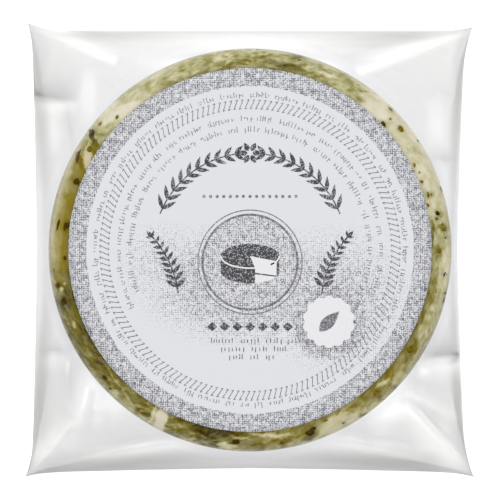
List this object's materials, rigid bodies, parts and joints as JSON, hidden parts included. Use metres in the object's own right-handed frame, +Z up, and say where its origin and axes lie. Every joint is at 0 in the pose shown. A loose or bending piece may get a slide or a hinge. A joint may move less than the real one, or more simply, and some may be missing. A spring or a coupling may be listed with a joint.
{
  "type": "crottin cheese in a clear pouch",
  "caption": "Flat round of soft cheese with herbs, sealed in a square clear film pouch with drawn-in sides and pointed corners, under a round paper label.",
  "frame": {"origin": "under the middle of the pouch, on the surface that it rests on", "axes": "+Z up, out of the label; +Y towards the far side, which is the top of the picture; +X to the right"},
  "size_m": [0.0895, 0.0907, 0.0253],
  "materials": {
    "clear_film": "clear glossy packing film",
    "label_paper": "matt printed paper",
    "cheese": "moist soft cheese with herb oil",
    "herbs": "dried herb flecks in oil"
  },
  "bodies": {
    "root": {"pouch": "clear_film", "label": "label_paper"}
  },
  "joints": []
}
